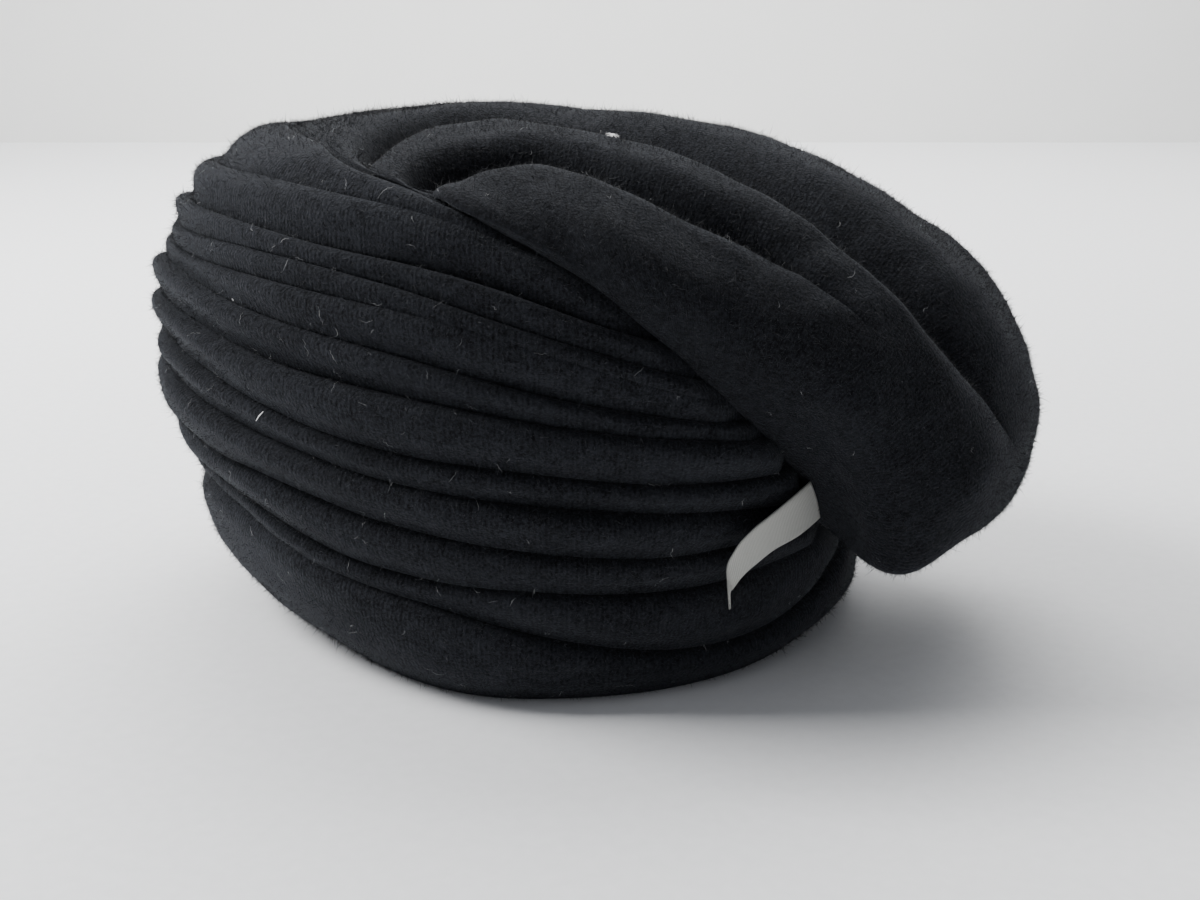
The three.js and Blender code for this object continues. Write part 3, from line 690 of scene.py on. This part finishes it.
def hairs(name, points, normals, tangents, lengths, widths, lean, curl, material, rng, parts=2):
    """Curved tapering ribbons, joined in one mesh."""
    count = len(points)
    turn = rng.uniform(0, 2 * math.pi, count)[:, None]
    binormal = np.cross(normals, tangents)
    sideways = np.cos(turn) * tangents + np.sin(turn) * binormal
    direction = unit(normals * np.cos(lean)[:, None] + sideways * np.sin(lean)[:, None])
    bend = unit(rng.normal(size=(count, 3))) * curl[:, None]
    ribbon = unit(np.cross(direction, rng.normal(size=(count, 3))))
    verts = []
    for part in range(parts + 1):
        t = part / parts
        centre = points + direction * lengths[:, None] * t + bend * lengths[:, None] * t * t
        half = 0.5 * widths[:, None] * (1 - 0.6 * t)
        if part == parts:
            verts.append(centre[:, None])
        else:
            verts.append(np.stack([centre - ribbon * half, centre + ribbon * half], 1))
    grid = np.concatenate(verts, 1)
    grid[..., 2] = np.maximum(grid[..., 2], FLOOR_GAP)
    size = grid.shape[1]
    first = (np.arange(count) * size)[:, None]
    faces = []
    for part in range(parts - 1):
        faces.append(first + np.array([2 * part, 2 * part + 1, 2 * part + 3, 2 * part + 2]))
    tips = first + np.array([2 * parts - 2, 2 * parts - 1, 2 * parts])
    listed = np.concatenate(faces).tolist() + tips.tolist() if faces else tips.tolist()
    return add_mesh(name, grid.reshape(-1, 3), listed, material)


def fuzz(name, surface, flip, count, seed, size, material, parts):
    """Matted fibres all over a cloth; size is their usual length in mm."""
    rng = np.random.default_rng(seed)
    points, normals, tangents = scatter(rng, surface, count)
    normals = normals * flip
    lengths = np.clip(size * rng.lognormal(0, 0.4, count), 0.3, 3.2)
    widths = rng.uniform(0.08, 0.14, count)
    lean = rng.uniform(0.3, 1.45, count)
    curl = rng.uniform(0.1, 0.6, count)
    roots = points - normals * 0.1
    return hairs(name, roots, normals, tangents, lengths, widths, lean, curl, material, rng, parts)


def on_grid(surface, i, j, flip):
    """Point, outward direction and cell size at fractional places on a grid of points."""
    i = np.clip(i, 0, surface.shape[0] - 1.001)
    j = np.clip(j, 0, surface.shape[1] - 1.001)
    a, b = i.astype(int), j.astype(int)
    s, t = (i - a)[..., None], (j - b)[..., None]
    p00, p01 = surface[a, b], surface[a, b + 1]
    p10, p11 = surface[a + 1, b], surface[a + 1, b + 1]
    point = (1 - s) * ((1 - t) * p00 + t * p01) + s * ((1 - t) * p10 + t * p11)
    down, right = p10 - p00, p01 - p00
    out = -flip * unit(np.cross(down, right))
    return point, out, np.linalg.norm(down, axis=-1), np.linalg.norm(right, axis=-1)


def strands(name, surface, flip, starts, headings, lengths, widths, material, rng, steps=9, lift=0.75):
    """Loose fibres that wander over the cloth, as thin ribbons joined in one mesh."""
    count = len(starts)
    i, j = starts[:, 0].astype(float), starts[:, 1].astype(float)
    heading = headings.copy()
    turn = rng.normal(0, 0.1, count)
    centres, outs = [], []
    for step in range(steps + 1):
        point, out, down, across = on_grid(surface, i, j, flip)
        wave = lift * (0.5 + rng.random(count)) + 0.3 * (step == 0) + 0.3 * (step == steps)
        centres.append(point + out * wave[:, None])
        outs.append(out)
        i = i + np.cos(heading) * lengths / steps / np.maximum(down, 0.2)
        j = j + np.sin(heading) * lengths / steps / np.maximum(across, 0.2)
        turn = turn + rng.normal(0, 0.07, count)
        heading = heading + turn
    centres, outs = np.stack(centres, 1), np.stack(outs, 1)
    along = np.gradient(centres, axis=1)
    side = unit(np.cross(along, outs))
    taper = np.sin(np.linspace(0.25, math.pi - 0.25, steps + 1))[None, :, None]
    half = 0.5 * widths[:, None, None] * taper
    grid = np.stack([centres - side * half, centres + side * half], 2)
    grid[..., 2] = np.maximum(grid[..., 2], FLOOR_GAP)
    first = (np.arange(count) * (2 * steps + 2))[:, None, None]
    quad = np.array([0, 1, 3, 2])[None, None, :] + 2 * np.arange(steps)[None, :, None]
    return add_mesh(name, grid.reshape(-1, 3), (first + quad).reshape(-1, 4), material)


def stray_lint(name, surface, flip, count, seed, material, weight):
    rng = np.random.default_rng(seed)
    a, b, c = surface[:-1, :-1], surface[:-1, 1:], surface[1:, :-1]
    area = np.linalg.norm(np.cross(b - a, c - a), axis=-1) * weight(a)
    pick = rng.choice(area.size, count, p=(area / area.sum()).ravel())
    starts = np.stack(np.unravel_index(pick, area.shape), 1)
    lengths = np.clip(rng.lognormal(1.0, 0.5, count), 1.0, 8)
    widths = rng.uniform(0.06, 0.1, count)
    headings = rng.uniform(0, 2 * math.pi, count)
    return strands(name, surface, flip, starts, headings, lengths, widths, material, rng)


def grid_place(surface, pixel):
    """Nearest place to the camera whose picture lies on a pixel of the 1200 x 900 frame."""
    metres = (surface + (ORIGIN_X, 0, 0)) * MM - np.array(camera.location)
    view = np.array(camera.rotation_euler.to_matrix())
    local = metres @ view
    focus = 1200 * camera.data.lens / camera.data.sensor_width
    x = 600 + focus * local[..., 0] / -local[..., 2]
    y = 450 - focus * local[..., 1] / -local[..., 2]
    off = np.hypot(x - pixel[0], y - pixel[1])
    score = np.where(off < off.min() + 4, -local[..., 2] * 1000 + off * 0.05, 1e9)
    return np.unravel_index(np.argmin(score), score.shape)


def lint_specks(name, places, material):
    """White specks: one short stiff fibre, or several that cross at one place on the cloth."""
    rng = np.random.default_rng(77)
    points, faces = [], []
    for surface, flip, pixel, spread, count, heading in places:
        i, j = grid_place(surface, pixel)
        start = np.array([[i, j]] * count)
        point, out, _, _ = on_grid(surface, start[:, 0].astype(float), start[:, 1].astype(float), flip)
        up = np.array([0.0, 0.0, 1.0])
        level = unit(np.cross(up, out))
        rise = np.cross(out, level)
        if count > 1:
            angles = heading + (np.pi * np.arange(count) / count + rng.uniform(-0.3, 0.3, count))
            way = np.cos(angles)[:, None] * level + np.sin(angles)[:, None] * rise
            sizes = rng.uniform(0.7, 1.1, count)
        else:
            way = math.cos(heading) * level + math.sin(heading) * rise
            sizes = np.ones(1)
        side = np.cross(out, way)
        reach_mm = spread * sizes[:, None]
        lifted = point + out * SPECK_LIFT
        for k in range(count):
            first = len(points)
            for t, w in ((-0.5, 0.5), (0.0, 1.0), (0.5, 0.5)):
                middle = lifted[k] + way[k] * reach_mm[k] * t + out[k] * 0.25 * (1 - abs(2 * t))
                points.append(middle - side[k] * SPECK_HALF_WIDTH * w)
                points.append(middle + side[k] * SPECK_HALF_WIDTH * w)
            faces.append([first, first + 1, first + 3, first + 2])
            faces.append([first + 2, first + 3, first + 5, first + 4])
    return add_mesh(name, np.array(points), faces, material)


# Tape
TAPE_THICK = 0.35
TAPE_LENGTH = 35
TAPE_WIDTH = 10
HEM = 0.1
HEM_PLACE = 0.06
HEM_SPREAD = 0.05


def make_tape(material):
    along = np.linspace(0, 1, 61)

    def column(name):
        return curve(TAPE["along"], TAPE[name], along)

    offset = 2 * CLEARANCE + BAND_WALL * column("bow")
    strips = np.linspace(0, 1, 13)
    faces_out, faces_in = [], []
    for share in strips:
        angle = lerp(column("upperAngle"), column("lowerAngle"), share)
        z = CROWN_HEIGHT * lerp(column("upper"), column("lower"), share)
        hem = HEM * math.exp(-(((share - HEM_PLACE) / HEM_SPREAD) ** 2))
        hem = hem + HEM * math.exp(-(((share - (1 - HEM_PLACE)) / HEM_SPREAD) ** 2))
        faces_out.append(head_point(-angle, z, offset + TAPE_THICK + hem))
        faces_in.append(head_point(-angle, z, offset - hem))
    points = np.stack(faces_out + faces_in[::-1], 1)
    count = points.shape[1]
    faces = grid_faces(len(along), count, ring_columns=True)
    caps = []
    for section in (0, len(along) - 1):
        ring = [section * count + k for k in range(count)]
        caps.append(ring if section else ring[::-1])
    length = np.broadcast_to((along * TAPE_LENGTH)[:, None], points.shape[:2])
    width = np.broadcast_to(np.concatenate([strips, strips[::-1]]) * TAPE_WIDTH, points.shape[:2])
    uv = np.stack([length, width], -1) * MM
    faces = faces.tolist() + caps
    return add_mesh("tape_cloth", points.reshape(-1, 3), faces, material, uv.reshape(-1, 2))


wool_band = wool("wool_band", 0.15, (0.02, 0.0216, 0.0263, 1))
# The crown's wool is the band's near-black wool with its tone lowered by about a quarter: painted shade
# for the crown's shaded rolls and grooves.
wool_crown_painted_shade = wool("wool_crown_painted_shade", 0.25, (0.0152, 0.0165, 0.0202, 1))
fluff = fibre("wool_fibre", (0.0035, 0.0038, 0.0047, 1), (0.056, 0.06, 0.069, 1))
# The crown's fibres are likewise toned about a quarter darker than the band's: painted shade.
crown_fluff_painted_shade = fibre("crown_fibre_painted_shade", (0.003, 0.0033, 0.004, 1), (0.041, 0.044, 0.051, 1))
lint = fibre("lint_fibre", (0.13, 0.135, 0.145, 1), (0.5, 0.5, 0.5, 1))
speck = fibre("lint_speck", (0.6, 0.6, 0.6, 1), (0.85, 0.85, 0.83, 1))
tape_look = cotton()

band_points, band_side, band_uv = band_grid()
drape_points, drape_side, drape_uv = drape_grid()
band_surface = band_points[:, :band_side]
drape_surface = drape_points[:, :drape_side]
band_faces = grid_faces(*band_points.shape[:2], ring_rows=True, ring_columns=True)
drape_faces = grid_faces(*drape_points.shape[:2], ring_columns=True).tolist()
ring = drape_points.shape[1]
last = (drape_points.shape[0] - 1) * ring
drape_faces.append(list(range(ring))[::-1])
drape_faces.append([last + k for k in range(ring)])
band = add_mesh("band_cloth", band_points.reshape(-1, 3), band_faces, wool_band, band_uv.reshape(-1, 2))
drape = add_mesh(
    "crown_cloth", drape_points.reshape(-1, 3), drape_faces, wool_crown_painted_shade, drape_uv.reshape(-1, 2)
)
tape = make_tape(tape_look)
band_fuzz = fuzz("band_fuzz", band_surface, 1, 190000, 31, 0.9, fluff, 1)
drape_fuzz = fuzz("crown_fuzz", drape_surface, -1, 180000, 32, 0.9, crown_fluff_painted_shade, 1)
band_hairs = fuzz("band_hairs", band_surface, 1, 24000, 33, 1.9, fluff, 2)
drape_hairs = fuzz("crown_hairs", drape_surface, -1, 24000, 34, 1.9, crown_fluff_painted_shade, 2)
band_lint = stray_lint(
    "band_lint", band_surface, 1, 420, 41, lint,
    lambda p: np.where(p[..., 0] < 30, 1.0, 0.45) * np.where(p[..., 1] < 0, 1.0, 0.5)
)
drape_lint = stray_lint(
    "crown_lint", drape_surface, -1, 120, 42, lint, lambda p: np.where(p[..., 2] > 20, 1.0, 0.4)
)
specks = lint_specks("lint_specks", [
    (drape_surface, -1, (613, 135), 4.0, 6, 0.0),
    (band_surface, 1, (260, 420), 3.0, 1, 1.1),
    (band_surface, 1, (229, 301), 2.2, 1, 0.5),
], speck)

for obj, node in ((band, "pleated_band"), (drape, "crown_drape"), (tape, "label_tape")):
    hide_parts(node)
wool_pieces = (band, drape, band_fuzz, drape_fuzz, band_hairs, drape_hairs, band_lint, drape_lint, specks)
for obj in (tape, *wool_pieces):
    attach(obj, "root")

# Stage and light
right = Vector((math.cos(azimuth), math.sin(azimuth), 0))
away = Vector((-math.sin(azimuth), math.cos(azimuth), 0))


def stage_material(name, dark, pale, scale):
    material, nodes, links, bsdf = shader(name)
    bsdf.inputs["Roughness"].default_value = 0.95
    bsdf.inputs["Specular IOR Level"].default_value = 0.1
    place = nodes.new("ShaderNodeTexCoord")
    noise = nodes.new("ShaderNodeTexNoise")
    noise.inputs["Scale"].default_value = scale
    noise.inputs["Detail"].default_value = 6
    links.new(place.outputs["Object"], noise.inputs["Vector"])
    tone = nodes.new("ShaderNodeValToRGB")
    tone.color_ramp.elements[0].position = 0.3
    tone.color_ramp.elements[0].color = dark
    tone.color_ramp.elements[1].position = 0.7
    tone.color_ramp.elements[1].color = pale
    links.new(noise.outputs["Fac"], tone.inputs["Fac"])
    links.new(tone.outputs["Color"], bsdf.inputs["Base Color"])
    return material


def stage_plane(name, centre, across, up, material):
    corners = [centre - across - up, centre + across - up, centre + across + up, centre - across + up]
    mesh = bpy.data.meshes.new(name)
    mesh.from_pydata([tuple(c) for c in corners], [], [(0, 1, 2, 3)])
    mesh.materials.append(material)
    obj = bpy.data.objects.new(name, mesh)
    scene.collection.objects.link(obj)
    return obj


floor_look = stage_material("pale_floor", (0.92, 0.925, 0.935, 1), (0.96, 0.965, 0.975, 1), 260)
wall_look = stage_material("pale_wall", (0.9, 0.9, 0.88, 1), (0.93, 0.93, 0.91, 1), 8)
stage_plane("wall", away * 1.5 + Vector((0, 0, 0.9)), right * 4, Vector((0, 0, 1)), wall_look)
stage_plane("floor", Vector((0, 0, 0)), right * 4, away * 4, floor_look)


def area_light(name, place, aim, energy, size):
    light = bpy.data.objects.new(name, bpy.data.lights.new(name, "AREA"))
    light.data.energy = energy
    light.data.size = size
    light.location = place
    light.rotation_euler = (aim - place).to_track_quat("-Z", "Y").to_euler()
    scene.collection.objects.link(light)
    return light


area_light("key", target - right * 1.0 + away * 0.1 + Vector((0, 0, 0.9)), target, 28, 0.6)
area_light("fill", target - away * 0.9 - right * 0.3 + Vector((0, 0, 1.3)), target, 0.8, 1.0)
area_light("back", target + away * 0.9 + Vector((0, 0, 1.4)), target, 9, 1.2)
area_light("wall_wash", away * 0.75 + Vector((0, 0, 1.3)), away * 1.5 + Vector((0, 0, 0.2)), 30, 1.4)
world = bpy.data.worlds.new("studio")
world.use_nodes = True
world.node_tree.nodes["Background"].inputs["Color"].default_value = (0.9, 0.93, 1, 1)
world.node_tree.nodes["Background"].inputs["Strength"].default_value = 0.25
scene.world = world
